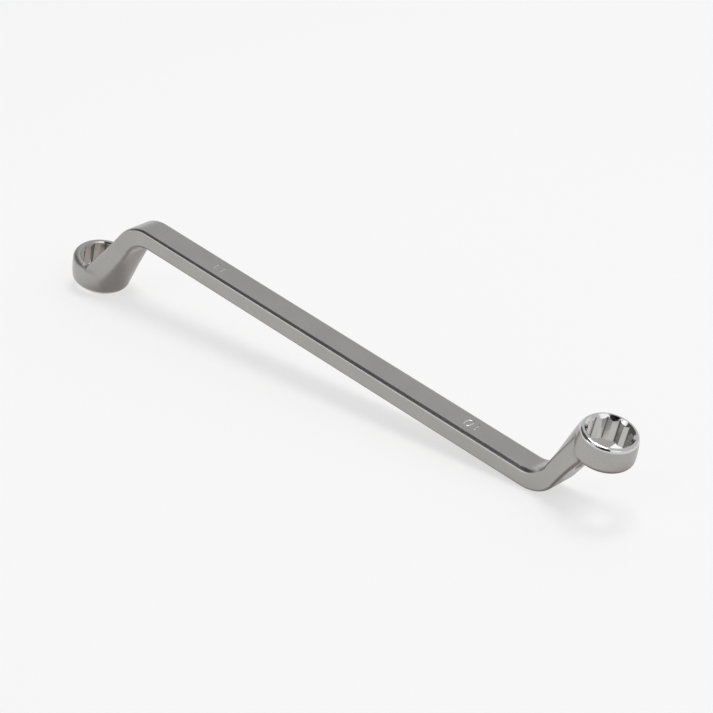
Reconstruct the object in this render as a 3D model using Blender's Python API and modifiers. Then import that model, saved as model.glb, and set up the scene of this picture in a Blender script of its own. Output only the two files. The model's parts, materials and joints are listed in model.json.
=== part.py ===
"""Double ended ring spanner with deep offset rings, for 10 mm and 11 mm hexagons.

The tool is one steel forging. A flat bar is the shank. It bends up at one end and down at the
other, each neck runs into a turned ring head, and both heads are broached with a twelve point
socket. Every shape is built in the spanner's own frame, with the shank along X and its wide
faces up and down. An empty then lays the whole tool down as it rests on a table, on the lower
rim of the 11 mm ring and on the outside of the bend below the 10 mm ring.
"""

import math
from collections import namedtuple

import bmesh
import bpy
from mathutils import Matrix, Vector

MM = 0.001

# Sockets: a hexagon fits each of two sets of six corners, half a corner apart
ACROSS_FLATS_10 = 10.0 * MM
ACROSS_FLATS_11 = 11.0 * MM
SOCKET_CLEARANCE = 0.1 * MM
SOCKET_CORNERS = 12
LEAD_IN_WIDTH = 0.4 * MM
LEAD_IN_ANGLE = math.radians(46)

# Where the neck runs on below a ring, the socket goes on through it as a smooth hole that
# tapers, so that the end of a bolt can pass. It starts just inside the ring.
CLEARANCE_WALL = 0.1 * MM
CLEARANCE_START = 0.35 * MM
CLEARANCE_LENGTH = 12.0 * MM
CLEARANCE_TAPER = math.radians(12)

# Ring heads: the wall is barrelled, and its draft makes the side that goes on to the nut slimmer
RING_WALL_10 = 1.77 * MM
RING_WALL_11 = 2.08 * MM
RING_HEIGHT_10 = 7.28 * MM
RING_HEIGHT_11 = 7.54 * MM
RING_TILT = math.radians(7.2)
OPEN_RIM_RADIUS = 0.9 * MM
NECK_RIM_RADIUS = 1.4 * MM
WALL_BULGE = 0.12 * MM
WALL_DRAFT = 0.22 * MM

# Shank, and the bends that carry the rings away from it
SHANK_WIDTH = 8.25 * MM
SHANK_THICKNESS = 5.35 * MM
SHANK_EDGE_RADIUS = 1.0 * MM
KNEE_SPAN = 148.4 * MM
RING_OFFSET = 19.72 * MM
INNER_KNEE_SHIFT = -1.2 * MM
OUTER_KNEE_SHIFT = 0.3 * MM
INNER_BEND_RADIUS = 8.4 * MM
OUTER_BEND_RADIUS = 11.5 * MM

# Necks: the bar widens through the bend, then straight lines carry each point of its section to
# the ring's own outline. The inner edges meet that at the edge angle, measured round the ring
# from the neck's middle. Inside the ring's wall the neck ends in a shoulder.
BEND_FLARE = 0.6 * MM
NECK_RUN = 6.42 * MM
NECK_INSET = 0.17 * MM
NECK_TOP = 0.82 * MM
NECK_FOOT_SETBACK = 0.4 * MM
NECK_FOOT_DEPTH = 0.85 * MM
NECK_EDGE_ANGLE = math.radians(49)
NECK_EDGE_SPREAD = math.radians(6)
NECK_OUTER_EDGE_RADIUS = 1.2 * MM
NECK_INNER_BOW = 0.25 * MM
NECK_OUTER_BOW = 0.3 * MM
NECK_STATION_SHARES = (0.17, 0.33, 0.5, 0.67, 0.83, 1.0)
SHOULDER_INSET = 0.7 * MM
SHOULDER_TOP = 0.5 * MM

# One overrun serves all cuts
OVERRUN = 1.0 * MM
MERGE_DISTANCE = 0.002 * MM

# Counts of facets
FACE_STEPS = 4
CORNER_STEPS = 6
SIDE_STEPS = 4
BEND_STEPS = 10
RIM_STEPS = 5
TURN_STEPS = 72
RESTING_STEPS = 12

# Turned cuts are spun by half a facet, so that no socket corner runs into a facet's edge
HALF_FACET = math.pi / TURN_STEPS

# Edges that turn by more than this are shaded sharp
SHARP_EDGE_ANGLE = math.radians(30)

NODE_NAME = "spanner_forging"

# An end of the spanner: its sizes, and the half turn about Y that puts it on its side
End = namedtuple("End", "name across_flats wall height turn")
END_10 = End("10", ACROSS_FLATS_10, RING_WALL_10, RING_HEIGHT_10, 0.0)
END_11 = End("11", ACROSS_FLATS_11, RING_WALL_11, RING_HEIGHT_11, math.pi)


def clear_scene():
    for item in list(bpy.data.objects):
        bpy.data.objects.remove(item, do_unlink=True)


def collection(name):
    made = bpy.data.collections.new(name)
    bpy.context.scene.collection.children.link(made)
    return made


def satin_chrome():
    """Nickel and chrome plate over a tumbled forging: pale grey, a soft gloss."""
    material = bpy.data.materials.new("satin_chrome")
    material.use_nodes = True
    shader = material.node_tree.nodes["Principled BSDF"]
    shader.inputs["Base Color"].default_value = (0.50, 0.49, 0.475, 1.0)
    shader.inputs["Metallic"].default_value = 1.0
    shader.inputs["Roughness"].default_value = 0.34
    return material


def corner_radius(end):
    """Distance from a socket's axis to the corners of a hexagon in it."""
    return (end.across_flats + SOCKET_CLEARANCE) / 2 / math.cos(math.pi / 6)


def waist_radius(end):
    """Distance from a socket's axis to the ridges between its corners."""
    return (end.across_flats + SOCKET_CLEARANCE) / 2 / math.cos(math.pi / SOCKET_CORNERS)


def ring_radius(end):
    return corner_radius(end) + end.wall


def ring_centre(end):
    """The head's middle in the end's own frame, with the shank's middle at zero."""
    return Vector((KNEE_SPAN / 2 + NECK_RUN + ring_radius(end), 0.0, RING_OFFSET))


def end_frame(end):
    return Matrix.Rotation(end.turn, 4, "Y")


def ring_frame(end):
    """A head's frame in its end's own frame: Z is the socket's axis, the neck comes from -Z."""
    return Matrix.Translation(ring_centre(end)) @ Matrix.Rotation(RING_TILT, 4, "Y")


def head_frame(end):
    return end_frame(end) @ ring_frame(end)


def bend_arc(corner, radius, finish):
    """One side of a bend, in side view: it rounds off the corner between shank and neck."""
    angle = math.atan2(finish.z - corner.z, finish.x - corner.x)
    centre = corner + radius * Vector((-math.tan(angle / 2), 0.0, 1.0))
    points = []
    for step in range(BEND_STEPS + 1):
        swept = angle * step / BEND_STEPS
        points.append(centre + radius * Vector((math.sin(swept), 0.0, -math.cos(swept))))
    return points


def shank_half_section(upper, lower, flare):
    """Half of the bar's rounded rectangle, from its upper to its lower middle."""
    down = (lower - upper).normalized()
    depth = (lower - upper).length
    radius = SHANK_EDGE_RADIUS
    flat = SHANK_WIDTH / 2 + flare - radius
    spots = []
    for step in range(FACE_STEPS):
        spots.append((flat * step / FACE_STEPS, 0.0))
    for step in range(CORNER_STEPS):
        angle = math.pi / 2 * step / CORNER_STEPS
        spots.append((flat + radius * math.sin(angle), radius * (1 - math.cos(angle))))
    for step in range(SIDE_STEPS):
        spots.append((flat + radius, radius + (depth - 2 * radius) * step / SIDE_STEPS))
    for step in range(CORNER_STEPS):
        angle = math.pi / 2 * step / CORNER_STEPS
        spots.append((flat + radius * math.cos(angle), depth - radius * (1 - math.sin(angle))))
    for step in range(FACE_STEPS + 1):
        spots.append((flat * (1 - step / FACE_STEPS), depth))
    across = Vector((0.0, 1.0, 0.0))
    return [upper + across * reach + down * fall for reach, fall in spots]


def neck_finish(end, inset, top):
    """Where the neck's inner and outer side end, at the ring's wall and inside the ring."""
    half_height = end.height / 2
    frame = ring_frame(end)
    upper = frame @ Vector((inset - ring_radius(end), 0.0, half_height - top))
    lower = frame @ Vector((-NECK_FOOT_SETBACK, 0.0, NECK_FOOT_DEPTH - half_height))
    return upper, lower


def ring_half_section(end, inset, top):
    """Half of the ring's own outline, in the slanting plane in which the neck runs into it."""
    radius = ring_radius(end) - inset
    upper, lower = neck_finish(end, inset, top)
    depth = (lower - upper).length
    down = (lower - upper) / depth
    run = radius - NECK_FOOT_SETBACK
    edge = NECK_OUTER_EDGE_RADIUS
    side_end = math.acos(1 - (depth - edge) / depth * run / radius)
    side_start = NECK_EDGE_ANGLE + NECK_EDGE_SPREAD
    flat_end = NECK_EDGE_ANGLE - NECK_EDGE_SPREAD
    angles = [flat_end * step / FACE_STEPS for step in range(FACE_STEPS)]
    angles += [flat_end + 2 * NECK_EDGE_SPREAD * step / CORNER_STEPS for step in range(CORNER_STEPS)]
    angles += [side_start + (side_end - side_start) * step / SIDE_STEPS for step in range(SIDE_STEPS)]
    spots = []
    for angle in angles:
        spots.append((radius * math.sin(angle), depth * radius * (1 - math.cos(angle)) / run))
    flat = radius * math.sin(side_end) - edge
    for step in range(CORNER_STEPS):
        angle = math.pi / 2 * step / CORNER_STEPS
        spots.append((flat + edge * math.cos(angle), depth - edge * (1 - math.sin(angle))))
    for step in range(FACE_STEPS + 1):
        spots.append((flat * (1 - step / FACE_STEPS), depth))
    across = Vector((0.0, 1.0, 0.0))
    return [upper + across * reach + down * fall for reach, fall in spots]


def neck_half_section(start, finish, share):
    """A half section of the neck, at a share of the way from the shank's to the ring's."""
    inner = finish[0] - start[0]
    outward = Vector((-inner.z, 0.0, inner.x)).normalized()
    bow = 1 - (2 * share - 1) ** 2
    across = start[-1] - start[0]
    points = []
    for begin, final in zip(start, finish):
        depth_share = (begin - start[0]).dot(across) / across.length_squared
        height = NECK_INNER_BOW + (NECK_OUTER_BOW - NECK_INNER_BOW) * depth_share
        points.append(begin.lerp(final, share) + outward * bow * height)
    return points


def end_half_sections(end):
    """Half sections from the start of the bend to inside the ring, in the end's frame."""
    knee = KNEE_SPAN / 2
    inner_end, outer_end = neck_finish(end, NECK_INSET, NECK_TOP)
    inner_corner = Vector((knee + INNER_KNEE_SHIFT, 0.0, SHANK_THICKNESS / 2))
    outer_corner = Vector((knee + OUTER_KNEE_SHIFT, 0.0, -SHANK_THICKNESS / 2))
    inner_arc = bend_arc(inner_corner, INNER_BEND_RADIUS, inner_end)
    outer_arc = bend_arc(outer_corner, OUTER_BEND_RADIUS, outer_end)
    sections = []
    for step, (inner, outer) in enumerate(zip(inner_arc, outer_arc)):
        flare = BEND_FLARE * (step / BEND_STEPS) ** 2
        sections.append(shank_half_section(inner, outer, flare))
    start = sections[-1]
    finish = ring_half_section(end, NECK_INSET, NECK_TOP)
    for share in NECK_STATION_SHARES:
        sections.append(neck_half_section(start, finish, share))
    sections.append(ring_half_section(end, SHOULDER_INSET, SHOULDER_TOP))
    return sections


def whole_section(half):
    """A half section and its mirror image, as one closed row of points."""
    other = [Vector((point.x, -point.y, point.z)) for point in half[-2:0:-1]]
    return half + other


def bar_sections():
    """All cross sections, from inside the 11 mm ring to inside the 10 mm ring."""
    half_turn = end_frame(END_11)
    sections = []
    for half in reversed(end_half_sections(END_11)):
        sections.append(whole_section([half_turn @ point for point in reversed(half)]))
    return sections + [whole_section(half) for half in end_half_sections(END_10)]


def forged_bar():
    """Shank, bends and necks: one loft through unlike sections, closed at both ends."""
    shape = bmesh.new()
    rings = []
    for section in bar_sections():
        rings.append([shape.verts.new(point) for point in section])
    for ring, following in zip(rings, rings[1:]):
        for index, vertex in enumerate(ring):
            before = index - 1
            shape.faces.new((ring[before], vertex, following[index], following[before]))
    shape.faces.new(rings[0])
    shape.faces.new(rings[-1])
    bmesh.ops.recalc_face_normals(shape, faces=shape.faces)
    mesh = bpy.data.meshes.new(NODE_NAME)
    shape.to_mesh(mesh)
    shape.free()
    return bpy.data.objects.new(NODE_NAME, mesh)


def turned(name, profile):
    """A solid of revolution about Z, from a profile that runs down its outer side."""
    mesh = bpy.data.meshes.new(name)
    points = [(radius, 0.0, height) for radius, height in profile]
    edges = [(index, index + 1) for index in range(len(points) - 1)]
    mesh.from_pydata(points, edges, [])
    item = bpy.data.objects.new(name, mesh)
    screw = item.modifiers.new("turn", "SCREW")
    screw.steps = TURN_STEPS
    screw.render_steps = TURN_STEPS
    screw.use_merge_vertices = True
    screw.merge_threshold = MERGE_DISTANCE
    return item


def rim(end, side, radius):
    """Half section of one rim, from the flat face outwards; side is 1 or -1 along the axis."""
    middle = ring_radius(end) - WALL_BULGE - side * WALL_DRAFT - radius
    height = end.height / 2 - radius
    points = []
    for step in range(RIM_STEPS + 1):
        angle = math.pi / 2 * (1 - step / RIM_STEPS)
        reach = middle + radius * math.cos(angle)
        points.append((reach, side * (height + radius * math.sin(angle))))
    return points


def head_profile(end):
    """Half section of a ring head: flat faces, round rims and a slightly barrelled wall."""
    upper = rim(end, 1, OPEN_RIM_RADIUS)
    lower = rim(end, -1, NECK_RIM_RADIUS)
    top = [(0.0, end.height / 2)]
    wall = [(ring_radius(end), 0.0)]
    bottom = [(0.0, -end.height / 2)]
    return top + upper + wall + lower[::-1] + bottom


def reamer_profile(end):
    """Half section of the cut for the lead-in, the pilot bore and the tapering clearance."""
    half_height = end.height / 2
    bore = end.across_flats / 2
    mouth = corner_radius(end) + LEAD_IN_WIDTH
    rise = math.tan(LEAD_IN_ANGLE)
    clearance = corner_radius(end) + CLEARANCE_WALL
    narrow = clearance - CLEARANCE_LENGTH * math.tan(CLEARANCE_TAPER)
    return [
        (0.0, half_height + OVERRUN),
        (mouth + OVERRUN / rise, half_height + OVERRUN),
        (bore, half_height - (mouth - bore) * rise),
        (bore, CLEARANCE_START - half_height),
        (clearance, CLEARANCE_START - half_height),
        (narrow, -half_height - CLEARANCE_LENGTH),
        (0.0, -half_height - CLEARANCE_LENGTH),
    ]


def broach(end, holder):
    """The twelve point cutter: a flat star outline, drawn out past both faces of the ring.

    A ridge between two corners, not a corner, points along the shank.
    """
    curve = bpy.data.curves.new("broach_outline_" + end.name, "CURVE")
    curve.dimensions = "2D"
    curve.fill_mode = "BOTH"
    curve.extrude = end.height / 2 + OVERRUN
    star = curve.splines.new("POLY")
    star.points.add(2 * SOCKET_CORNERS - 1)
    for index, point in enumerate(star.points):
        angle = index * math.pi / SOCKET_CORNERS
        radius = corner_radius(end) if index % 2 else waist_radius(end)
        point.co = (radius * math.cos(angle), radius * math.sin(angle), 0.0, 1.0)
    star.use_cyclic_u = True
    outline = bpy.data.objects.new(curve.name, curve)
    holder.objects.link(outline)
    depsgraph = bpy.context.evaluated_depsgraph_get()
    mesh = bpy.data.meshes.new_from_object(outline.evaluated_get(depsgraph))
    bpy.data.objects.remove(outline, do_unlink=True)
    shape = bmesh.new()
    shape.from_mesh(mesh)
    bmesh.ops.remove_doubles(shape, verts=shape.verts, dist=MERGE_DISTANCE)
    bmesh.ops.recalc_face_normals(shape, faces=shape.faces)
    shape.to_mesh(mesh)
    shape.free()
    return bpy.data.objects.new("broach_" + end.name, mesh)


def tool(item, end, holder, parent, spin=0.0):
    """Set a head's blank or cutter in its place, out of sight."""
    holder.objects.link(item)
    item.matrix_world = head_frame(end) @ Matrix.Rotation(spin, 4, "Z")
    item.parent = parent
    item.hide_render = True
    item.display_type = "WIRE"
    return item


def boolean(item, operand, operation):
    step = item.modifiers.new(operation.lower() + "_" + operand.name, "BOOLEAN")
    step.operation = operation
    step.solver = "EXACT"
    step.object = operand


def forging(parts, tools, parent):
    """The whole spanner: the bar, both heads joined to it, then both sockets cut."""
    bar = forged_bar()
    parts.objects.link(bar)
    bar.parent = parent
    bar.data.materials.append(satin_chrome())
    bar.data.shade_smooth()
    bar.data.set_sharp_from_angle(angle=SHARP_EDGE_ANGLE)
    for end in (END_11, END_10):
        blank = tool(turned("head_" + end.name, head_profile(end)), end, tools, parent)
        boolean(bar, blank, "UNION")
    for end in (END_11, END_10):
        reamer = turned("reamer_" + end.name, reamer_profile(end))
        boolean(bar, tool(reamer, end, tools, parent, HALF_FACET), "DIFFERENCE")
        boolean(bar, tool(broach(end, tools), end, tools, parent), "DIFFERENCE")
    return bar


def surface_points(item):
    """The finished surface's corners, in the spanner's own frame."""
    bpy.context.view_layer.update()
    depsgraph = bpy.context.evaluated_depsgraph_get()
    return [vertex.co.copy() for vertex in item.evaluated_get(depsgraph).data.vertices]


def resting_turn(points):
    """The turn about Y that brings the lowest points left and right of the middle level."""
    turn = 0.0
    for step in range(RESTING_STEPS):
        up = Vector((-math.sin(turn), 0.0, math.cos(turn)))
        left = min((point for point in points if point.x < 0.0), key=up.dot)
        right = min((point for point in points if point.x > 0.0), key=up.dot)
        turn = math.atan2(right.z - left.z, right.x - left.x)
    return turn


def lay_down(item, pose):
    """Rest the tool on the ground, its bounding box's bottom centre at the origin."""
    points = surface_points(item)
    rotation = Matrix.Rotation(resting_turn(points), 3, "Y")
    placed = [rotation @ point for point in points]
    lowest = Vector([min(point[axis] for point in placed) for axis in range(3)])
    highest = Vector([max(point[axis] for point in placed) for axis in range(3)])
    middle = (lowest + highest) / 2
    pose.rotation_euler = rotation.to_euler()
    pose.location = (-middle.x, -middle.y, -lowest.z)


def main():
    clear_scene()
    parts = collection("ring_spanner")
    tools = collection("forging_and_cutting_tools")
    pose = bpy.data.objects.new("resting_pose", None)
    parts.objects.link(pose)
    spanner = forging(parts, tools, pose)
    lay_down(spanner, pose)


main()
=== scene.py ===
import json
import math
from collections import namedtuple

import bmesh
import bpy
import numpy as np
from mathutils import Matrix, Vector, kdtree

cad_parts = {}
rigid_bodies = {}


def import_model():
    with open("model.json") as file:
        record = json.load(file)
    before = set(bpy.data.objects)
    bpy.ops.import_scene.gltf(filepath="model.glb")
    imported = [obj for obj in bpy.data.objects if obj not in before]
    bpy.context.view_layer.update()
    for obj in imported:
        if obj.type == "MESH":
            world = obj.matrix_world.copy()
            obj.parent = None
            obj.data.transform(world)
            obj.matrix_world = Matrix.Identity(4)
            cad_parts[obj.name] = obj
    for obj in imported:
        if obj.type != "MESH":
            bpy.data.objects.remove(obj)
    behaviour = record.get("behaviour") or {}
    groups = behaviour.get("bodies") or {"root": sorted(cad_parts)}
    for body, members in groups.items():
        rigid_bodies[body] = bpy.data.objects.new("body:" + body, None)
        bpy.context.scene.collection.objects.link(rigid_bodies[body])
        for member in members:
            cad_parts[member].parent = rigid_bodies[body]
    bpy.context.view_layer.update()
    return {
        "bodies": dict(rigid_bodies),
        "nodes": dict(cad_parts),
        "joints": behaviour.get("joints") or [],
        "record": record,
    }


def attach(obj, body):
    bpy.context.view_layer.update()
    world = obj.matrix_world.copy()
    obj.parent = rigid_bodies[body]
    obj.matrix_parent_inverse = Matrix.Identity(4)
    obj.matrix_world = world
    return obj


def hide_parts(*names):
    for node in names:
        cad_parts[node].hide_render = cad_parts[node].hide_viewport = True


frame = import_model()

scene = bpy.context.scene
scene.view_settings.view_transform = "Standard"

# Camera: on a stand in front of the table, to the right of the spanner's middle, with a long
# lens. It looks down at the tool by 27 degrees, so the shank runs from upper left to lower right.
SENSOR_WIDTH = 36.0
LENS_LENGTH = 127.45
CAMERA_PLACE = (0.408954, -0.409666, 0.307653)
CAMERA_TURN_DEGREES = (62.7452, 0.0904, 44.2393)
camera_data = bpy.data.cameras.new("camera")
camera_data.sensor_width = SENSOR_WIDTH
camera_data.lens = LENS_LENGTH
camera = bpy.data.objects.new("camera", camera_data)
camera.location = CAMERA_PLACE
camera.rotation_euler = [math.radians(angle) for angle in CAMERA_TURN_DEGREES]
scene.collection.objects.link(camera)
scene.camera = camera


# Table top: a broad sheet of matt white board under the tool, wide enough to reach the horizon
# in a low view. It is lifted towards plain white where the camera or a reflection meets it. Its
# shader comes from the small node writer below, which every finish shares.
class Value:
    """A node's output in an expression: each operator adds the node that works it out."""

    def __init__(self, tree, socket):
        self.tree = tree
        self.socket = socket

    def node(self, kind, settings=None, output=0, **inputs):
        made = self.tree.nodes.new(kind)
        for name, setting in (settings or {}).items():
            setattr(made, name, setting)
        for name, value in inputs.items():
            key = int(name[1:]) if name[0] == "n" and name[1:].isdigit() else name.replace("_", " ")
            if isinstance(value, Value):
                self.tree.links.new(value.socket, made.inputs[key])
            else:
                made.inputs[key].default_value = value
        return Value(self.tree, made.outputs[output])

    def maths(self, operation, other=0.0):
        return self.node("ShaderNodeMath", {"operation": operation}, n0=self, n1=other)

    def __add__(self, other):
        return self.maths("ADD", other)

    __radd__ = __add__

    def __mul__(self, other):
        return self.maths("MULTIPLY", other)

    def __sub__(self, other):
        return self.maths("SUBTRACT", other)

    def __rsub__(self, other):
        return self.node("ShaderNodeMath", {"operation": "SUBTRACT"}, n0=other, n1=self)

    def __pow__(self, other):
        return self.maths("POWER", other)

    def smoothstep(self, low, high):
        """0 below low, 1 above high, and a soft S between them."""
        settings = {"interpolation_type": "SMOOTHSTEP"}
        return self.node("ShaderNodeMapRange", settings, Value=self, n1=low, n2=high)

    def dot(self, direction):
        settings = {"operation": "DOT_PRODUCT"}
        return self.node("ShaderNodeVectorMath", settings, output=1, n0=self, n1=direction)

    def larger(self, other):
        return self.maths("MAXIMUM", other)

    def mix(self, low, high):
        """The colour low where this value is 0, and high where it is 1."""
        settings = {"data_type": "RGBA"}
        return self.node("ShaderNodeMix", settings, output=2, n0=self, n6=low, n7=high)


def new_material(name):
    """A material, its main shader node and a first value to start expressions from."""
    material = bpy.data.materials.new(name)
    material.use_nodes = True
    tree = material.node_tree
    shader = tree.nodes["Principled BSDF"]
    return material, shader, Value(tree, None)


def feed(shader, name, value):
    value.tree.links.new(value.socket, shader.inputs[name])


TABLE_HALF_SIDE = 6.0
TABLE_WHITE = (0.945, 0.935, 0.92, 1.0)
TABLE_ROUGHNESS = 0.9
TABLE_SHINE = 0.1
TABLE_LIFT = 0.62
MIRRORED_LIFT = 0.42
PLAIN_WHITE = (1.0, 1.0, 1.0, 1.0)
CAMERA_RAY, GLOSSY_RAY, TRANSMISSION_RAY = 0, 3, 6
table_mesh = bpy.data.meshes.new("table_top")
table_corners = [(-1, -1), (1, -1), (1, 1), (-1, 1)]
table_mesh.from_pydata([(x * TABLE_HALF_SIDE, y * TABLE_HALF_SIDE, 0.0) for x, y in table_corners],
                       [], [(0, 1, 2, 3)])
table = bpy.data.objects.new("table_top", table_mesh)
scene.collection.objects.link(table)
board, board_shader, board_start = new_material("matt_white_board")
board_shader.inputs["Roughness"].default_value = TABLE_ROUGHNESS
board_shader.inputs["Specular IOR Level"].default_value = TABLE_SHINE
board_shader.inputs["Base Color"].default_value = TABLE_WHITE
seen = board_start.node("ShaderNodeLightPath", output=CAMERA_RAY)
mirrored = board_start.node("ShaderNodeLightPath", output=GLOSSY_RAY)
through_glass = board_start.node("ShaderNodeLightPath", output=TRANSMISSION_RAY)
glow = board_start.node("ShaderNodeEmission", Color=PLAIN_WHITE, Strength=1.0)
lift = (seen + through_glass) * TABLE_LIFT + mirrored * MIRRORED_LIFT
lifted = board_start.node("ShaderNodeMixShader", n0=lift,
                          n1=Value(board.node_tree, board_shader.outputs[0]), n2=glow)
board_output = board.node_tree.nodes["Material Output"]
board.node_tree.links.new(lifted.socket, board_output.inputs["Surface"])
table_mesh.materials.append(board)

# Light: one soft box over the table, in a pale room that is dimmer above its white horizon. Two
# bright screens, a bright strip, two dim zones and the gap at the camera draw the plate's lines.
# A patch lies in a direction, and fades out between its core's and its edge's angle in degrees.
SOFT_BOX_SIDE = 0.42
SOFT_BOX_PLACE = (0.08, 0.15, 1.09)
SOFT_BOX_POWER = 4.5
soft_box_data = bpy.data.lights.new("soft_box", "AREA")
soft_box_data.shape = "SQUARE"
soft_box_data.size = SOFT_BOX_SIDE
soft_box_data.energy = SOFT_BOX_POWER
soft_box = bpy.data.objects.new("soft_box", soft_box_data)
soft_box.location = SOFT_BOX_PLACE
soft_box.rotation_euler = Vector(soft_box.location).to_track_quat("Z", "Y").to_euler()
scene.collection.objects.link(soft_box)

Patch = namedtuple("Patch", "towards edge core strength")
LEFT_SCREEN = Patch((-0.10, -0.65, 0.755), 12, 6, 1.3)
RIGHT_SCREEN = Patch((0.85, -0.10, 0.52), 24, 8, 0.65)
DIM_CORNER = Patch((-0.57, -0.33, 0.75), 42, 28, 0.85)
DIM_FRONT = Patch((0.46, -0.84, 0.29), 33, 22, 0.92)
FRONT_STRIP = Patch((-0.525, -0.84, 0.139), 13, 5, 1.2)
CAMERA_GAP = Patch((0.516, -0.535, 0.669), 22, 14, 0.93)
ROOM_TINT = (0.957, 0.976, 1.0)
ROOM_DIMMING = 0.30
HORIZON_FADE = (0.06, 0.3)
UP = (0.0, 0.0, 1.0)
WORLD_DIRECTION = 0
room = bpy.data.worlds.new("room")
room.use_nodes = True
room_start = Value(room.node_tree, None)
outward = room_start.node("ShaderNodeTexCoord", output=WORLD_DIRECTION)


def patch(shape):
    """A round patch of the room: its strength inside the core, nothing outside the edge."""
    nearness = outward.dot(Vector(shape.towards).normalized())
    edge, core = (math.cos(math.radians(angle)) for angle in (shape.edge, shape.core))
    return nearness.smoothstep(edge, core) * shape.strength


brightness = 1.0 - outward.dot(UP).smoothstep(*HORIZON_FADE) * ROOM_DIMMING
brightness = brightness * (1.0 - patch(DIM_CORNER)) * (1.0 - patch(DIM_FRONT))
for screen in (LEFT_SCREEN, RIGHT_SCREEN, FRONT_STRIP):
    brightness = brightness + patch(screen)
brightness = brightness * (1.0 - patch(CAMERA_GAP))
background = room.node_tree.nodes["Background"]
room_light = brightness.node("ShaderNodeVectorMath", {"operation": "SCALE"}, n0=ROOM_TINT,
                             Scale=brightness)
room.node_tree.links.new(room_light.socket, background.inputs["Color"])
scene.world = room

# Forged bar: shank, bends and necks are one bar of tool steel, drop forged and bent to the S
# shape. Each neck widens and rounds over until it has the ring's own outline. An end's side says
# on which side along Y, 1 or -1, the lip of its socket at the neck is polished.
MM = 0.001
SHANK_WIDTH = 8.25 * MM
SHANK_THICKNESS = 5.35 * MM
INNER_EDGE_RADIUS = 1.4 * MM
OUTER_EDGE_RADIUS = 0.9 * MM
KNEE_SPAN = 148.4 * MM
INNER_KNEE_SHIFT = -1.2 * MM
OUTER_KNEE_SHIFT = 0.3 * MM
INNER_BEND_RADIUS = 8.4 * MM
OUTER_BEND_RADIUS = 11.5 * MM
BEND_FLARE = 0.6 * MM
NECK_RUN = 6.42 * MM
NECK_INSET = 0.17 * MM
NECK_TOP = 0.82 * MM
NECK_FOOT_SETBACK = 0.4 * MM
NECK_FOOT_DEPTH = 0.85 * MM
NECK_EDGE_ANGLE = math.radians(49)
NECK_EDGE_SPREAD = math.radians(6)
NECK_OUTER_EDGE_RADIUS = 1.2 * MM
NECK_INNER_BOW = 0.25 * MM
NECK_OUTER_BOW = 0.3 * MM
SHOULDER_INSET = 0.7 * MM
SHOULDER_TOP = 0.5 * MM
FACE_STEPS = 8
CORNER_STEPS = 14
SIDE_STEPS = 8
BEND_STEPS = 24
NECK_STEPS = 12

RING_OFFSET = 19.72 * MM
RING_TILT = math.radians(7.2)
SOCKET_CLEARANCE = 0.1 * MM
End = namedtuple("End", "name across_flats wall height turn side")
END_10 = End("10", across_flats=10.0 * MM, wall=1.77 * MM, height=7.28 * MM, turn=0.0, side=-1)
END_11 = End("11", across_flats=11.0 * MM, wall=2.08 * MM, height=7.54 * MM, turn=math.pi, side=1)


def corner_radius(end):
    """Distance from a socket's axis to the corners of a hexagon in it."""
    return (end.across_flats + SOCKET_CLEARANCE) / 2 / math.cos(math.pi / 6)


def ring_radius(end):
    return corner_radius(end) + end.wall


def ring_frame(end):
    """A ring's frame in its end's own frame: Z is the socket's axis, the neck comes from -Z."""
    centre = Vector((KNEE_SPAN / 2 + NECK_RUN + ring_radius(end), 0.0, RING_OFFSET))
    return Matrix.Translation(centre) @ Matrix.Rotation(RING_TILT, 4, "Y")


def head_frame(end):
    return Matrix.Rotation(end.turn, 4, "Y") @ ring_frame(end)


def bend_arc(corner, radius, finish):
    """One side of a bend, in side view: it rounds off the corner between shank and neck."""
    angle = math.atan2(finish.z - corner.z, finish.x - corner.x)
    centre = corner + radius * Vector((-math.tan(angle / 2), 0.0, 1.0))
    points = []
    for step in range(BEND_STEPS + 1):
        swept = angle * step / BEND_STEPS
        points.append(centre + radius * Vector((math.sin(swept), 0.0, -math.cos(swept))))
    return points


def shank_half_section(upper, lower, flare):
    """Half of the bar's rounded rectangle, from its upper to its lower middle."""
    down = (lower - upper).normalized()
    depth = (lower - upper).length
    side = SHANK_WIDTH / 2 + flare
    spots = []
    for step in range(FACE_STEPS):
        spots.append(((side - INNER_EDGE_RADIUS) * step / FACE_STEPS, 0.0))
    for step in range(CORNER_STEPS):
        angle = math.pi / 2 * step / CORNER_STEPS
        spots.append((side - INNER_EDGE_RADIUS * (1 - math.sin(angle)),
                      INNER_EDGE_RADIUS * (1 - math.cos(angle))))
    for step in range(SIDE_STEPS):
        height = depth - INNER_EDGE_RADIUS - OUTER_EDGE_RADIUS
        spots.append((side, INNER_EDGE_RADIUS + height * step / SIDE_STEPS))
    for step in range(CORNER_STEPS):
        angle = math.pi / 2 * step / CORNER_STEPS
        spots.append((side - OUTER_EDGE_RADIUS * (1 - math.cos(angle)),
                      depth - OUTER_EDGE_RADIUS * (1 - math.sin(angle))))
    for step in range(FACE_STEPS + 1):
        spots.append(((side - OUTER_EDGE_RADIUS) * (1 - step / FACE_STEPS), depth))
    across = Vector((0.0, 1.0, 0.0))
    return [upper + across * reach + down * fall for reach, fall in spots]


def neck_finish(end, inset, top):
    """Where the neck's inner and outer side end, at the ring's wall and inside the ring."""
    half_height = end.height / 2
    frame = ring_frame(end)
    upper = frame @ Vector((inset - ring_radius(end), 0.0, half_height - top))
    lower = frame @ Vector((-NECK_FOOT_SETBACK, 0.0, NECK_FOOT_DEPTH - half_height))
    return upper, lower


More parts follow.
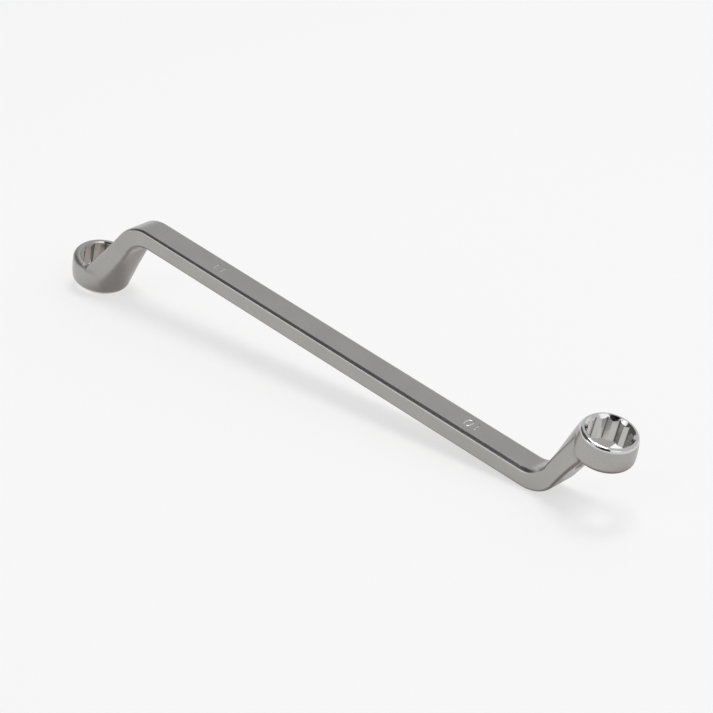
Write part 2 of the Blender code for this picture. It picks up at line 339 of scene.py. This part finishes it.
def ring_half_section(end, inset, top):
    """Half of the ring's own outline, in the slanting plane in which the neck runs into it."""
    radius = ring_radius(end) - inset
    upper, lower = neck_finish(end, inset, top)
    depth = (lower - upper).length
    down = (lower - upper) / depth
    run = radius - NECK_FOOT_SETBACK
    edge = NECK_OUTER_EDGE_RADIUS
    side_end = math.acos(1 - (depth - edge) / depth * run / radius)
    side_start = NECK_EDGE_ANGLE + NECK_EDGE_SPREAD
    flat_end = NECK_EDGE_ANGLE - NECK_EDGE_SPREAD
    angles = [flat_end * step / FACE_STEPS for step in range(FACE_STEPS)]
    angles += [flat_end + 2 * NECK_EDGE_SPREAD * step / CORNER_STEPS for step in range(CORNER_STEPS)]
    angles += [side_start + (side_end - side_start) * step / SIDE_STEPS for step in range(SIDE_STEPS)]
    spots = []
    for angle in angles:
        spots.append((radius * math.sin(angle), depth * radius * (1 - math.cos(angle)) / run))
    flat = radius * math.sin(side_end) - edge
    for step in range(CORNER_STEPS):
        angle = math.pi / 2 * step / CORNER_STEPS
        spots.append((flat + edge * math.cos(angle), depth - edge * (1 - math.sin(angle))))
    for step in range(FACE_STEPS + 1):
        spots.append((flat * (1 - step / FACE_STEPS), depth))
    across = Vector((0.0, 1.0, 0.0))
    return [upper + across * reach + down * fall for reach, fall in spots]


def neck_half_section(start, finish, share):
    """A half section of the neck, at a share of the way from the shank's to the ring's."""
    inner = finish[0] - start[0]
    outward = Vector((-inner.z, 0.0, inner.x)).normalized()
    bow = 1 - (2 * share - 1) ** 2
    across = start[-1] - start[0]
    points = []
    for begin, final in zip(start, finish):
        depth_share = (begin - start[0]).dot(across) / across.length_squared
        height = NECK_INNER_BOW + (NECK_OUTER_BOW - NECK_INNER_BOW) * depth_share
        points.append(begin.lerp(final, share) + outward * bow * height)
    return points


def end_half_sections(end):
    """Half sections from the start of the bend to inside the ring, in the end's frame."""
    knee = KNEE_SPAN / 2
    inner_end, outer_end = neck_finish(end, NECK_INSET, NECK_TOP)
    inner_corner = Vector((knee + INNER_KNEE_SHIFT, 0.0, SHANK_THICKNESS / 2))
    outer_corner = Vector((knee + OUTER_KNEE_SHIFT, 0.0, -SHANK_THICKNESS / 2))
    inner_arc = bend_arc(inner_corner, INNER_BEND_RADIUS, inner_end)
    outer_arc = bend_arc(outer_corner, OUTER_BEND_RADIUS, outer_end)
    sections = []
    for step, (inner, outer) in enumerate(zip(inner_arc, outer_arc)):
        flare = BEND_FLARE * (step / BEND_STEPS) ** 2
        sections.append(shank_half_section(inner, outer, flare))
    start = sections[-1]
    finish = ring_half_section(end, NECK_INSET, NECK_TOP)
    for step in range(NECK_STEPS):
        sections.append(neck_half_section(start, finish, (step + 1) / NECK_STEPS))
    sections.append(ring_half_section(end, SHOULDER_INSET, SHOULDER_TOP))
    return sections


def whole_section(half):
    """A half section and its mirror image, as one closed row of points."""
    other = [Vector((point.x, -point.y, point.z)) for point in half[-2:0:-1]]
    return half + other


half_turn = Matrix.Rotation(math.pi, 4, "Y")
outlines = [whole_section([half_turn @ point for point in reversed(half)])
            for half in reversed(end_half_sections(END_11))]
outlines += [whole_section(half) for half in end_half_sections(END_10)]
bar_shape = bmesh.new()
sections = [[bar_shape.verts.new(point) for point in outline] for outline in outlines]
for section, following in zip(sections, sections[1:]):
    for index, vertex in enumerate(section):
        before = index - 1
        bar_shape.faces.new((section[before], vertex, following[index], following[before]))
bar_shape.faces.new(sections[0])
bar_shape.faces.new(sections[-1])
bmesh.ops.recalc_face_normals(bar_shape, faces=bar_shape.faces)
bar_mesh = bpy.data.meshes.new("forged_bar")
bar_shape.to_mesh(bar_mesh)
bar_shape.free()
bar = bpy.data.objects.new("forged_bar", bar_mesh)
scene.collection.objects.link(bar)

# Ring heads: forged with the bar in the same dies. Each is a short round drum with a slightly
# barrelled wall, and a softer rim on the side that its neck runs into.
OPEN_RIM_RADIUS = 0.9 * MM
NECK_RIM_RADIUS = 1.4 * MM
WALL_BULGE = 0.12 * MM
WALL_DRAFT = 0.22 * MM
RIM_STEPS = 12
TURN_STEPS = 160
MERGE_DISTANCE = 0.002 * MM


def turned(name, profile):
    """A solid of revolution about Z, from a profile that runs down its outer side."""
    mesh = bpy.data.meshes.new(name)
    edges = [(index, index + 1) for index in range(len(profile) - 1)]
    mesh.from_pydata([(radius, 0.0, rise) for radius, rise in profile], edges, [])
    item = bpy.data.objects.new(name, mesh)
    screw = item.modifiers.new("turn", "SCREW")
    screw.steps = TURN_STEPS
    screw.render_steps = TURN_STEPS
    screw.use_merge_vertices = True
    screw.merge_threshold = MERGE_DISTANCE
    return item


def rim(end, side, radius):
    """Half section of one rim, from the flat face outwards; side is 1 or -1 along the axis."""
    middle = ring_radius(end) - WALL_BULGE - side * WALL_DRAFT - radius
    points = []
    for step in range(RIM_STEPS + 1):
        angle = math.pi / 2 * (1 - step / RIM_STEPS)
        rise = end.height / 2 - radius + radius * math.sin(angle)
        points.append((middle + radius * math.cos(angle), side * rise))
    return points


def wall_points(end):
    """The barrelled wall between the rims, as a shallow curve with draft."""
    top = end.height / 2 - OPEN_RIM_RADIUS
    bottom = NECK_RIM_RADIUS - end.height / 2
    points = []
    for step in range(1, RIM_STEPS):
        lean = 2 * step / RIM_STEPS - 1
        reach = ring_radius(end) - WALL_BULGE * lean ** 2 + WALL_DRAFT * lean
        points.append((reach, top + (bottom - top) * step / RIM_STEPS))
    return points


def placed(item, end, spin=0.0):
    """Set a head's blank or cutter in its place."""
    scene.collection.objects.link(item)
    item.matrix_world = head_frame(end) @ Matrix.Rotation(spin, 4, "Z")
    return item


def boolean(item, operand, operation, solver):
    step = item.modifiers.new(operand.name, "BOOLEAN")
    step.operation = operation
    step.solver = solver
    step.object = operand


def apply_steps(item):
    """The item's mesh becomes what its modifiers make of it."""
    bpy.context.view_layer.update()
    depsgraph = bpy.context.evaluated_depsgraph_get()
    mesh = bpy.data.meshes.new_from_object(item.evaluated_get(depsgraph))
    item.modifiers.clear()
    item.data = mesh


tools = []
for end in (END_11, END_10):
    profile = [(0.0, end.height / 2)] + rim(end, 1, OPEN_RIM_RADIUS) + wall_points(end)
    profile += rim(end, -1, NECK_RIM_RADIUS)[::-1] + [(0.0, -end.height / 2)]
    head = placed(turned("head_" + end.name, profile), end)
    boolean(bar, head, "UNION", "MANIFOLD")
    tools.append(head)
apply_steps(bar)

# Blends: the dies leave no sharp inside corner, and tumbling in stone chips softens what is left.
# The forging is remeshed finely, then relaxed, most of all along the lines where neck meets ring.
GRID = 0.2 * MM
BLEND_REACH = 1.5 * MM
BLEND_PASSES = 26
BLEND_STEP = 0.6
EVEN_PASSES = 6
EVEN_STEP = 0.5
EVEN_RETURN = -0.53
SEAM_ANGLE = math.radians(20)
seam_shape = bmesh.new()
seam_shape.from_mesh(bar.data)
seam = [(edge.verts[0].co + edge.verts[1].co) / 2 for edge in seam_shape.edges
        if len(edge.link_faces) == 2 and not edge.is_convex
        and edge.calc_face_angle() > SEAM_ANGLE]
seam_shape.free()
remesh = bar.modifiers.new("remesh", "REMESH")
remesh.mode = "VOXEL"
remesh.voxel_size = GRID
apply_steps(bar)
seam_tree = kdtree.KDTree(len(seam))
for index, point in enumerate(seam):
    seam_tree.insert(point, index)
seam_tree.balance()
count = len(bar.data.vertices)
places = np.empty(count * 3)
bar.data.vertices.foreach_get("co", places)
places = places.reshape(count, 3)
nearness = np.array([1 - seam_tree.find(Vector(place))[2] / BLEND_REACH for place in places])
nearness = np.clip(nearness, 0.0, 1.0)[:, None]
edge_ends = np.empty(len(bar.data.edges) * 2, dtype=np.int64)
bar.data.edges.foreach_get("vertices", edge_ends)
first, second = edge_ends.reshape(-1, 2).T
neighbours = np.bincount(first, minlength=count) + np.bincount(second, minlength=count)


def relaxed(points, strength):
    """Each point moves by this strength towards the middle of its neighbours."""
    middle = np.empty_like(points)
    for axis in range(3):
        middle[:, axis] = np.bincount(first, points[second, axis], count)
        middle[:, axis] += np.bincount(second, points[first, axis], count)
    return points + (middle / neighbours[:, None] - points) * strength


for step in range(EVEN_PASSES):
    places = relaxed(relaxed(places, EVEN_STEP), EVEN_RETURN)
for step in range(BLEND_PASSES):
    places = relaxed(places, BLEND_STEP * nearness)
bar.data.vertices.foreach_set("co", places.ravel())

# Sockets: each ring is drilled, broached with a twelve point cutter, and countersunk on its open
# side. A smooth hole that tapers takes the cut on through the neck, for the end of a bolt, and a
# narrow lip is bevelled where it leaves the ring.
SOCKET_CORNERS = 12
LEAD_IN_WIDTH = 0.4 * MM
LEAD_IN_ANGLE = math.radians(46)
CLEARANCE_WALL = 0.1 * MM
CLEARANCE_START = 0.35 * MM
CLEARANCE_LENGTH = 12.0 * MM
CLEARANCE_TAPER = math.radians(7)
LIP_WIDTH = 0.32 * MM
OVERRUN = 1.0 * MM


def reamer_profile(end):
    """Half section of the cut for the lead-in, the pilot bore and the tapering clearance."""
    half_height = end.height / 2
    bore = end.across_flats / 2
    mouth = corner_radius(end) + LEAD_IN_WIDTH
    rise = math.tan(LEAD_IN_ANGLE)
    clearance = corner_radius(end) + CLEARANCE_WALL
    narrow = clearance + LIP_WIDTH - CLEARANCE_LENGTH * math.tan(CLEARANCE_TAPER)
    return [
        (0.0, half_height + OVERRUN),
        (mouth + OVERRUN / rise, half_height + OVERRUN),
        (bore, half_height - (mouth - bore) * rise),
        (bore, CLEARANCE_START - half_height),
        (clearance, CLEARANCE_START - half_height),
        (clearance, LIP_WIDTH - half_height),
        (clearance + LIP_WIDTH, -half_height),
        (narrow, -half_height - CLEARANCE_LENGTH),
        (0.0, -half_height - CLEARANCE_LENGTH),
    ]


def broach(end):
    """The twelve point cutter, with a ridge, not a corner, towards the shank."""
    waist = (end.across_flats + SOCKET_CLEARANCE) / 2 / math.cos(math.pi / SOCKET_CORNERS)
    reach = end.height / 2 + OVERRUN
    shape = bmesh.new()
    lower, upper = [], []
    for index in range(2 * SOCKET_CORNERS):
        angle = index * math.pi / SOCKET_CORNERS
        radius = corner_radius(end) if index % 2 else waist
        spot = radius * math.cos(angle), radius * math.sin(angle)
        lower.append(shape.verts.new((*spot, -reach)))
        upper.append(shape.verts.new((*spot, reach)))
    for index in range(2 * SOCKET_CORNERS):
        shape.faces.new((lower[index - 1], lower[index], upper[index], upper[index - 1]))
    shape.faces.new(lower[::-1])
    shape.faces.new(upper)
    mesh = bpy.data.meshes.new("broach_" + end.name)
    shape.to_mesh(mesh)
    shape.free()
    return bpy.data.objects.new("broach_" + end.name, mesh)


for end in (END_11, END_10):
    reamer = placed(turned("reamer_" + end.name, reamer_profile(end)), end)
    cutter = placed(broach(end), end)
    boolean(bar, reamer, "DIFFERENCE", "MANIFOLD")
    boolean(bar, cutter, "DIFFERENCE", "MANIFOLD")
    tools += [reamer, cutter]

# Size numbers: stamped into the shank's upper face before plating, one near each ring, with a
# round nosed punch. They are read from the far side, so from the camera they stand on their heads.
NUMBER_HEIGHT = 2.7 * MM
NUMBER_WIDTH = 1.75 * MM
NUMBER_PITCH = 2.6 * MM
STROKE_RADIUS = 0.27 * MM
STROKE_DEPTH = 0.19 * MM
NUMBER_10_PLACE = 48.6 * MM
NUMBER_11_PLACE = -42.9 * MM
OVAL_STEPS = 28
OVAL_POWER = 0.8
STROKE_STEPS = 5


def digit_strokes(digit):
    """Centre lines of a 0 or 1 in a unit box about its middle, and whether they are closed."""
    if digit == "1":
        return [[(-0.28, 0.27), (0.06, 0.5), (0.06, -0.5)]], False
    oval = []
    for step in range(OVAL_STEPS):
        angle = 2 * math.pi * step / OVAL_STEPS
        reach, rise = math.cos(angle), math.sin(angle)
        oval.append((0.5 * math.copysign(abs(reach) ** OVAL_POWER, reach),
                     0.5 * math.copysign(abs(rise) ** OVAL_POWER, rise)))
    return [oval], True


def stamped(number, place):
    """The punch for a number: round strokes that sink into the face by the stroke's depth."""
    curve = bpy.data.curves.new("punch_" + number, "CURVE")
    curve.dimensions = "3D"
    curve.bevel_depth = STROKE_RADIUS
    curve.bevel_resolution = STROKE_STEPS
    curve.use_fill_caps = True
    for index, digit in enumerate(number):
        shift = NUMBER_PITCH * (index - (len(number) - 1) / 2)
        strokes, closed = digit_strokes(digit)
        for stroke in strokes:
            spline = curve.splines.new("POLY")
            spline.points.add(len(stroke) - 1)
            spline.use_cyclic_u = closed
            for point, (x, y) in zip(spline.points, stroke):
                across = shift + x * NUMBER_WIDTH
                point.co = (place - across, -y * NUMBER_HEIGHT,
                            SHANK_THICKNESS / 2 + STROKE_RADIUS - STROKE_DEPTH, 1.0)
    outline = bpy.data.objects.new(curve.name, curve)
    scene.collection.objects.link(outline)
    bpy.context.view_layer.update()
    depsgraph = bpy.context.evaluated_depsgraph_get()
    mesh = bpy.data.meshes.new_from_object(outline.evaluated_get(depsgraph))
    bpy.data.objects.remove(outline, do_unlink=True)
    shape = bmesh.new()
    shape.from_mesh(mesh)
    bmesh.ops.remove_doubles(shape, verts=shape.verts, dist=MERGE_DISTANCE)
    bmesh.ops.recalc_face_normals(shape, faces=shape.faces)
    shape.to_mesh(mesh)
    shape.free()
    punch = bpy.data.objects.new("punch_" + number, mesh)
    scene.collection.objects.link(punch)
    return punch


for number, place in (("10", NUMBER_10_PLACE), ("11", NUMBER_11_PLACE)):
    punch = stamped(number, place)
    boolean(bar, punch, "DIFFERENCE", "MANIFOLD")
    tools.append(punch)
apply_steps(bar)
for tool in tools:
    bpy.data.objects.remove(tool, do_unlink=True)

# Resting place: the spanner lies on the rim of the 11 mm ring and on the outside of the bend
# below the 10 mm ring, so the shank slopes down by 8 degrees towards the 10 mm end.
RESTING_TURN = math.radians(8.163797)
RESTING_PLACE = Vector((0.8842, 0.0, 12.4534)) * MM
SHARP_EDGE_ANGLE = math.radians(35)
resting = Matrix.Translation(RESTING_PLACE) @ Matrix.Rotation(RESTING_TURN, 4, "Y")
bar.data.transform(resting)
bar.data.shade_smooth()
bar.data.set_sharp_from_angle(angle=SHARP_EDGE_ANGLE)
bar.name = "plated_forging"

# Plate: nickel under a thin chrome coat, over the whole forging. It is satin where stones tumbled
# it, darker and browner where it faces down with painted shade, more so towards the 10 mm end, and
# bright on the polished open rims and half of each lip. The broached walls have fine marks along the
# cut, painted shade in their corners and, in the 11 mm socket, a darker and browner painted shade,
# and the rims on the neck side are duller.
OBJECT_PLACE, OBJECT_NORMAL = 3, 1
RIM_POLISH_DEPTH = 1.0 * MM
RIM_POLISH_FADE = 0.25 * MM
RIM_POLISH_REACH = 8.0 * MM
RIM_REACH_FADE = 1.0 * MM
WALL_MARGIN = 0.02 * MM
WALL_FADE = 0.08 * MM
WALL_END_FADE = 0.1 * MM
MOUTH_MARGIN = 0.03 * MM
MOUTH_FADE = 0.07 * MM
CORNER_SHADE_SHARES = (0.02, 0.085)
LIP_MARGIN = 0.01 * MM
LIP_FADE = 0.04 * MM
LIP_POLISH_DEPTH = 0.35 * MM
LIP_DEPTH_FADE = 0.05 * MM
LIP_OVERSHOOT = 0.1 * MM
LIP_SIDE_SPAN = (1.5 * MM, 3.5 * MM)
DULL_RIM_DEPTH = 1.5 * MM
DULL_RIM_FADE = 0.5 * MM
DULL_RIM_OVERSHOOT = 0.3 * MM
DULL_RIM_INSET = 0.1 * MM
DULL_RIM_OUTSET = 0.3 * MM
NUMBER_DEPTH_SPAN = (0.02 * MM, 0.06 * MM)
NUMBER_FLOOR_SPAN = (0.3 * MM, 0.35 * MM)
NUMBER_BESIDE_SPAN = (2.0 * MM, 2.1 * MM)
NUMBER_ALONG_SPAN = (60 * MM, 61 * MM)
# Painted shade: faces that point down are darkened and browned, more so towards the 10 mm end.
UNDERSIDE_SLOPES = (0.12, 0.42)
UNDERSIDE_SHADING = 0.42
END_10_SHADING = 0.30
END_10_SHADING_SPAN = (70 * MM, 80 * MM)
CORNER_SHADE = 0.75
SATIN_DARK = (0.402, 0.389, 0.375, 1.0)
SATIN_LIGHT = (0.424, 0.410, 0.395, 1.0)
# The painted shade's colour for faces that point down.
UNDERSIDE_SHADE_BROWN = (0.13, 0.10, 0.08, 1.0)
POLISHED_CHROME = (0.66, 0.65, 0.64, 1.0)
BROACHED_GREY = (0.56, 0.55, 0.535, 1.0)
# Painted shade: the 11 mm socket's wall is darker and browner, as less light gets into it.
SOCKET_11_SHADE_BROWN = (0.40, 0.365, 0.33, 1.0)
# Painted shade in the sockets' twelve corners.
CORNER_SHADE_BLACK = (0.08, 0.075, 0.07, 1.0)
NUMBER_CHROME = (0.70, 0.69, 0.68, 1.0)
BROAD_SCALE = 90.0
BROAD_SPAN = (0.3, 0.7)
WAVE_SCALE = 600.0
SPECKLE_SCALE = 2600.0
MARK_SCALE = 4500.0
MARK_STRETCH = 0.04
GRAIN_SCALE = 9000.0
GRAIN_SHARE = 0.6
GRAIN_DEPTH = 0.0008
SATIN_WAVE_DEPTH = 0.010
WAVE_DEPTH = 0.09
MARK_DEPTH = 0.006
SATIN_ROUGHNESS = 0.21
BROAD_ROUGHNESS = 0.06
SPECKLE_ROUGHNESS = 0.05
DULL_RIM_ROUGHNESS = 0.18
POLISHED_ROUGHNESS = 0.10
BROACHED_ROUGHNESS = 0.22
Seat = namedtuple("Seat", "across aside rise radius")
satin, satin_shader, start = new_material("satin_chrome_plate")
where = start.node("ShaderNodeTexCoord", output=OBJECT_PLACE)
facing = start.node("ShaderNodeTexCoord", output=OBJECT_NORMAL)


def seat_of(end):
    """Distances from a head's middle along its own axes, and from its socket's axis."""
    head_place = resting @ head_frame(end)
    axes = [(head_place.to_3x3() @ Vector(axis)).normalized() for axis in ((1, 0, 0), (0, 1, 0), UP)]
    across, aside, rise = (where.dot(axis) - axis.dot(head_place.translation) for axis in axes)
    return Seat(across, aside, rise, (across * across + aside * aside) ** 0.5)


def open_rim(end, seat):
    """The polished rim of a head's open face, as far as the neck's root."""
    edge = end.height / 2 - RIM_POLISH_DEPTH
    near = seat.across.smoothstep(-RIM_POLISH_REACH - RIM_REACH_FADE, -RIM_POLISH_REACH)
    return near * seat.rise.smoothstep(edge, edge + RIM_POLISH_FADE)


def broached_wall(end, seat):
    """The socket's wall, from under the lead-in to the neck side."""
    edge = corner_radius(end) + WALL_MARGIN
    wall = 1.0 - seat.radius.smoothstep(edge, edge + WALL_FADE)
    wall = wall * seat.rise.smoothstep(-end.height / 2, WALL_END_FADE - end.height / 2)
    lead_in_depth = (corner_radius(end) + LEAD_IN_WIDTH - seat.radius) * math.tan(LEAD_IN_ANGLE)
    under_mouth = end.height / 2 - lead_in_depth
    return wall * (under_mouth - seat.rise).smoothstep(MOUTH_MARGIN, MOUTH_MARGIN + MOUTH_FADE)


def painted_corner_shade(seat):
    """1 in a socket's twelve corners, where the painted shade goes."""
    turn = seat.aside.maths("ARCTAN2", seat.across) * (SOCKET_CORNERS / (2 * math.pi))
    off_corner = (turn.maths("FRACT") - 0.5).maths("ABSOLUTE")
    return 1.0 - off_corner.smoothstep(*CORNER_SHADE_SHARES)


def polished_lip(end, seat):
    """The bevel at a socket's neck side, on the half that is polished."""
    edge = corner_radius(end) + CLEARANCE_WALL + LIP_WIDTH - LIP_MARGIN
    depth = end.height / 2 - LIP_POLISH_DEPTH
    lip = seat.radius.smoothstep(corner_radius(end), corner_radius(end) + CLEARANCE_WALL)
    lip = lip * (1.0 - seat.radius.smoothstep(edge, edge + LIP_FADE))
    lip = lip * (0.0 - seat.rise).smoothstep(depth, depth + LIP_DEPTH_FADE)
    lip = lip * seat.rise.smoothstep(-LIP_OVERSHOOT - end.height / 2, -end.height / 2)
    return lip * (seat.aside * end.side).smoothstep(*LIP_SIDE_SPAN)


def dull_rim(end, seat):
    """The softer rim on a head's neck side, without the socket."""
    depth = end.height / 2 - DULL_RIM_DEPTH
    low = (0.0 - seat.rise).smoothstep(depth, depth + DULL_RIM_FADE)
    low = low * seat.rise.smoothstep(-DULL_RIM_OVERSHOOT - end.height / 2, -end.height / 2)
    outer = ring_radius(end) + DULL_RIM_OUTSET
    return low * (1.0 - seat.radius.smoothstep(ring_radius(end) - DULL_RIM_INSET, outer))


def broach_marks(seat):
    """Fine lines along the cut: a noise that is stretched along the socket's axis."""
    stretched = start.node("ShaderNodeCombineXYZ", X=seat.across, Y=seat.aside,
                           Z=seat.rise * MARK_STRETCH)
    return start.node("ShaderNodeTexNoise", Vector=stretched, Scale=MARK_SCALE, Detail=2.0)


def stamped_strokes():
    """The numbers' strokes: what lies just below the shank's upper face, away from its edges."""
    face = resting.to_3x3() @ Vector(UP)
    below = SHANK_THICKNESS / 2 - (where.dot(face) - face.dot(resting.translation))
    along = where.dot((1.0, 0.0, 0.0)).maths("ABSOLUTE")
    beside = where.dot((0.0, 1.0, 0.0)).maths("ABSOLUTE")
    sunk = below.smoothstep(*NUMBER_DEPTH_SPAN) * (1.0 - below.smoothstep(*NUMBER_FLOOR_SPAN))
    sunk = sunk * (1.0 - beside.smoothstep(*NUMBER_BESIDE_SPAN))
    return sunk * (1.0 - along.smoothstep(*NUMBER_ALONG_SPAN))


polish = 0.0
socket_wall = 0.0
socket_corner_shade = 0.0
cut_marks = 0.0
neck_rim = 0.0
walls = {}
for end in (END_11, END_10):
    seat = seat_of(end)
    wall = broached_wall(end, seat)
    lip = polished_lip(end, seat)
    polish = (open_rim(end, seat) * (1.0 - wall)).larger(lip).larger(polish)
    socket_wall = wall.larger(socket_wall)
    socket_corner_shade = (wall * painted_corner_shade(seat)).larger(socket_corner_shade)
    cut_marks = broach_marks(seat) * wall + cut_marks
    neck_rim = (dull_rim(end, seat) * (1.0 - wall) * (1.0 - lip)).larger(neck_rim)
    walls[end.name] = wall
broad = start.node("ShaderNodeTexNoise", Vector=where, Scale=BROAD_SCALE, Detail=2.0, Roughness=0.5)
grain = start.node("ShaderNodeTexNoise", Vector=where, Scale=GRAIN_SCALE, Detail=2.0, Roughness=0.6)
speckle = start.node("ShaderNodeTexNoise", Vector=where, Scale=SPECKLE_SCALE, Detail=3.0,
                     Roughness=0.6)
# Painted shade: a mask of the faces that point down, and a share of it that grows towards the 10 mm
# end.
facing_down_shade = (0.0 - facing.dot(UP)).smoothstep(*UNDERSIDE_SLOPES)
end_10_shading = where.dot((1.0, 0.0, 0.0)).smoothstep(*END_10_SHADING_SPAN) * END_10_SHADING
tone = broad.smoothstep(*BROAD_SPAN).mix(SATIN_DARK, SATIN_LIGHT)
# Painted shade on the faces that point down.
tone = (facing_down_shade * (end_10_shading + UNDERSIDE_SHADING)).mix(tone, UNDERSIDE_SHADE_BROWN)
tone = polish.mix(tone, POLISHED_CHROME)
tone = socket_wall.mix(tone, BROACHED_GREY)
# Painted shade: the 11 mm socket's wall is mixed towards a darker brown.
tone = walls["11"].mix(tone, SOCKET_11_SHADE_BROWN)
# Painted shade: the sockets' corners are mixed towards black.
tone = (socket_corner_shade * CORNER_SHADE).mix(tone, CORNER_SHADE_BLACK)
tone = stamped_strokes().mix(tone, NUMBER_CHROME)
feed(satin_shader, "Base Color", tone)
roughness = SATIN_ROUGHNESS + broad * BROAD_ROUGHNESS + speckle * SPECKLE_ROUGHNESS
roughness = roughness + neck_rim * DULL_RIM_ROUGHNESS
roughness = roughness * (1.0 - polish) + polish * POLISHED_ROUGHNESS
roughness = roughness * (1.0 - socket_wall) + socket_wall * BROACHED_ROUGHNESS
feed(satin_shader, "Roughness", roughness)
satin_shader.inputs["Metallic"].default_value = 1.0
waviness = start.node("ShaderNodeTexNoise", Vector=where, Scale=WAVE_SCALE, Detail=2.0)
fine = grain * GRAIN_SHARE + speckle * (1 - GRAIN_SHARE)
relief = fine * (1.0 - polish) * GRAIN_DEPTH
relief = relief + waviness * (SATIN_WAVE_DEPTH + polish * WAVE_DEPTH) + cut_marks * MARK_DEPTH
bump = start.node("ShaderNodeBump", Strength=1.0, Distance=1.0 * MM, Height=relief)
feed(satin_shader, "Normal", bump)
bar.data.materials.clear()
bar.data.materials.append(satin)
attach(bar, "root")
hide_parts("spanner_forging")
